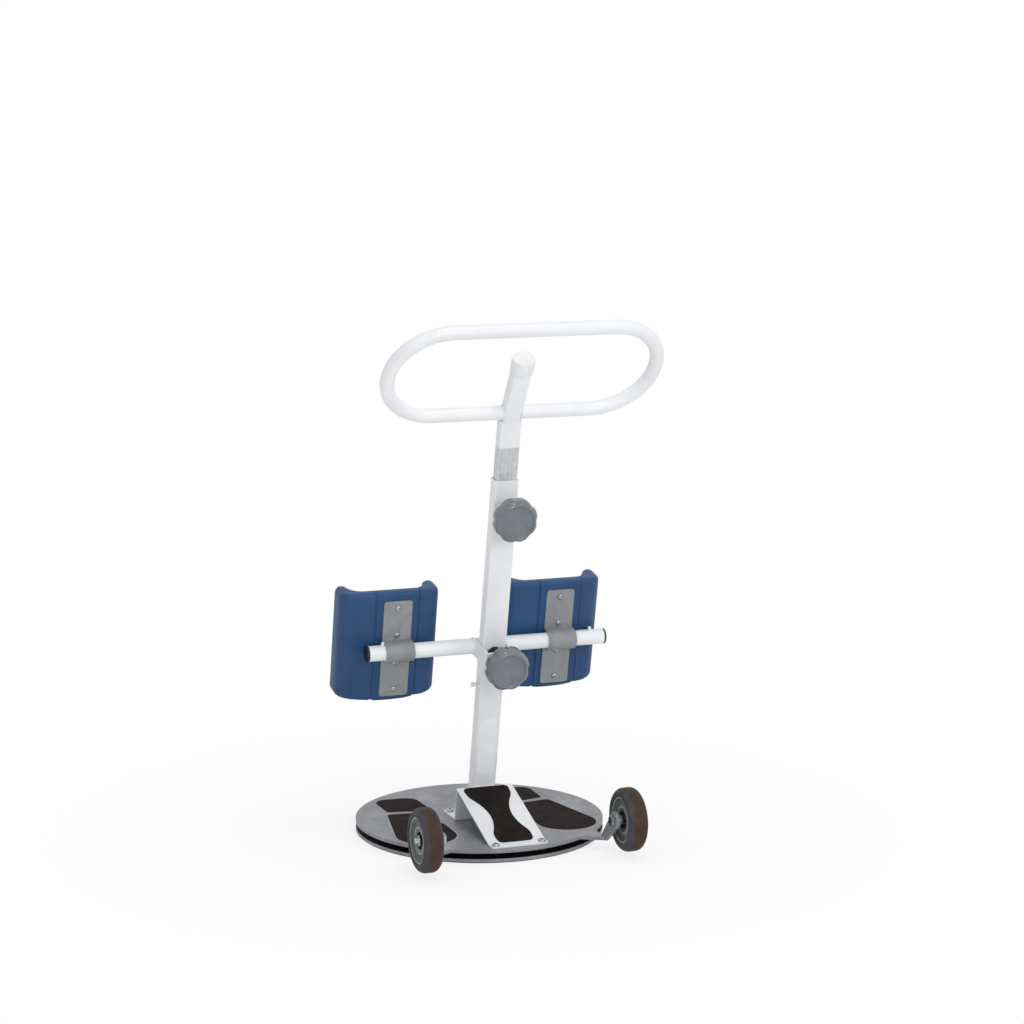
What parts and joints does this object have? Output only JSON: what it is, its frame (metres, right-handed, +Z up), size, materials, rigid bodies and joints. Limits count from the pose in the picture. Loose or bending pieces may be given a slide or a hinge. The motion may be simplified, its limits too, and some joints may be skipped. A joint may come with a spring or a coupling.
{
  "type": "patient turner",
  "caption": "Standing transfer aid: turning foot plate on a floor disc, leaning mast with telescopic grab handle, sliding knee pads on a crossbar and tilting wheels.",
  "frame": {"origin": "centre of the floor disc on the floor", "axes": "+Z up, +X to the right as the carer sees it, +Y away from the carer towards the patient"},
  "size_m": [0.5265, 0.5315, 0.9523],
  "materials": {
    "rubber_mat": "matte",
    "grey_paint": "satin",
    "bearing_steel": "satin",
    "zinc_steel": "satin",
    "ball_steel": "gloss",
    "cage_nylon": "matte",
    "bronze": "satin",
    "grip_sheet": "matte",
    "white_paint": "satin",
    "galvanised": "satin",
    "tyre_rubber": "matte",
    "hub_plastic": "satin",
    "black_plastic": "satin",
    "white_plastic": "gloss",
    "knob_plastic": "satin",
    "nylon": "matte",
    "strap_steel": "satin",
    "blue_foam": "matte",
    "insert_brass": "satin"
  },
  "bodies": {
    "base": {"floor_mat": "rubber_mat", "floor_disc": "grey_paint", "lower_race": "bearing_steel", "pivot_stud": "zinc_steel", "pivot_washer": "zinc_steel", "pivot_nut": "zinc_steel"},
    "ball_ring": {"ball_cage": "cage_nylon", "bearing_balls": "ball_steel"},
    "turntable": {"turning_plate": "grey_paint", "upper_race": "bearing_steel", "pivot_bush": "bronze", "left_sole_grip": "grip_sheet", "left_heel_grip": "grip_sheet", "right_sole_grip": "grip_sheet", "right_heel_grip": "grip_sheet", "pedal_bracket": "white_paint", "pedal_grip": "grip_sheet", "bracket_screws": "zinc_steel", "bracket_nuts": "zinc_steel", "mast": "white_paint", "mast_boss": "white_paint", "mast_pins": "white_paint", "axle_bolts": "zinc_steel", "axle_nuts": "zinc_steel", "axle_spacers": "zinc_steel"},
    "left_wheel": {"left_tyre": "tyre_rubber", "left_hub": "hub_plastic", "left_sleeve": "zinc_steel"},
    "right_wheel": {"right_tyre": "tyre_rubber", "right_hub": "hub_plastic", "right_sleeve": "zinc_steel"},
    "handle": {"post": "galvanised", "post_plug": "black_plastic", "neck": "white_paint", "neck_cap": "white_plastic", "handle_loop": "white_paint"},
    "upper_screw_tip": {"upper_tip": "nylon"},
    "upper_screw": {"upper_stud": "zinc_steel", "upper_knob": "knob_plastic", "upper_knob_cap": "knob_plastic"},
    "knee_bar": {"crossbar": "white_paint", "crossbar_clamp": "white_paint", "clamp_boss": "white_paint", "crossbar_caps": "black_plastic", "crossbar_pins": "white_paint"},
    "lower_screw_tip": {"pressure_disc": "black_plastic"},
    "lower_screw": {"lower_stud": "zinc_steel", "lower_knob": "knob_plastic", "lower_knob_cap": "knob_plastic"},
    "left_slider": {"left_bush": "nylon"},
    "left_knee_pad": {"left_strap": "strap_steel", "left_screws": "zinc_steel", "left_inserts": "insert_brass", "left_pad": "blue_foam"},
    "right_slider": {"right_bush": "nylon"},
    "right_knee_pad": {"right_strap": "strap_steel", "right_screws": "zinc_steel", "right_inserts": "insert_brass", "right_pad": "blue_foam"}
  },
  "joints": [
    {"name": "turntable_spin", "type": "hinge", "parent": "base", "child": "turntable", "pos_m": [0, 0, 0.021], "axis": [0, 0, 1], "continuous": true},
    {"name": "ball_ring_spin", "type": "hinge", "parent": "base", "child": "ball_ring", "pos_m": [0, 0, 0.013], "axis": [0, 0, 1], "continuous": true},
    {"name": "left_wheel_spin", "type": "hinge", "parent": "turntable", "child": "left_wheel", "pos_m": [-0.189, -0.25, 0.0645], "axis": [1, 0, 0], "continuous": true},
    {"name": "right_wheel_spin", "type": "hinge", "parent": "turntable", "child": "right_wheel", "pos_m": [0.189, -0.25, 0.0645], "axis": [1, 0, 0], "continuous": true},
    {"name": "handle_slide", "type": "slide", "parent": "turntable", "child": "handle", "axis": [0, -0.1994, 0.9799], "range_m": [-0.059, 0.23]},
    {"name": "upper_tip_slide", "type": "slide", "parent": "turntable", "child": "upper_screw_tip", "axis": [0, -0.9799, -0.1994], "range_m": [0, 0.003]},
    {"name": "upper_knob_turn", "type": "hinge", "parent": "upper_screw_tip", "child": "upper_screw", "pos_m": [0, -0.15735, 0.60428], "axis": [0, -0.9799, -0.1994], "range_deg": [0, 720]},
    {"name": "knee_bar_slide", "type": "slide", "parent": "turntable", "child": "knee_bar", "axis": [0, -0.1994, 0.9799], "range_m": [-0.044, 0.185]},
    {"name": "lower_tip_slide", "type": "slide", "parent": "knee_bar", "child": "lower_screw_tip", "axis": [0, -0.9799, -0.1994], "range_m": [0, 0.003]},
    {"name": "lower_knob_turn", "type": "hinge", "parent": "lower_screw_tip", "child": "lower_screw", "pos_m": [0, -0.11909, 0.33347], "axis": [0, -0.9799, -0.1994], "range_deg": [0, 720]},
    {"name": "left_pad_slide", "type": "slide", "parent": "knee_bar", "child": "left_slider", "axis": [1, 0, 0], "range_m": [0, 0.05]},
    {"name": "left_pad_tilt", "type": "hinge", "parent": "left_slider", "child": "left_knee_pad", "pos_m": [-0.167, -0.03873, 0.34982], "axis": [1, 0, 0], "range_deg": [-40, 40]},
    {"name": "right_pad_slide", "type": "slide", "parent": "knee_bar", "child": "right_slider", "axis": [1, 0, 0], "range_m": [-0.008, 0.026]},
    {"name": "right_pad_tilt", "type": "hinge", "parent": "right_slider", "child": "right_knee_pad", "pos_m": [0.141, -0.03873, 0.34982], "axis": [1, 0, 0], "range_deg": [-40, 40]}
  ],
  "couplings": [
    {"joint": "upper_tip_slide", "follows": "upper_knob_turn", "m_per_rad": 0.00023873},
    {"joint": "lower_tip_slide", "follows": "lower_knob_turn", "m_per_rad": 0.00023873},
    {"joint": "ball_ring_spin", "follows": "turntable_spin", "ratio": 0.5}
  ]
}
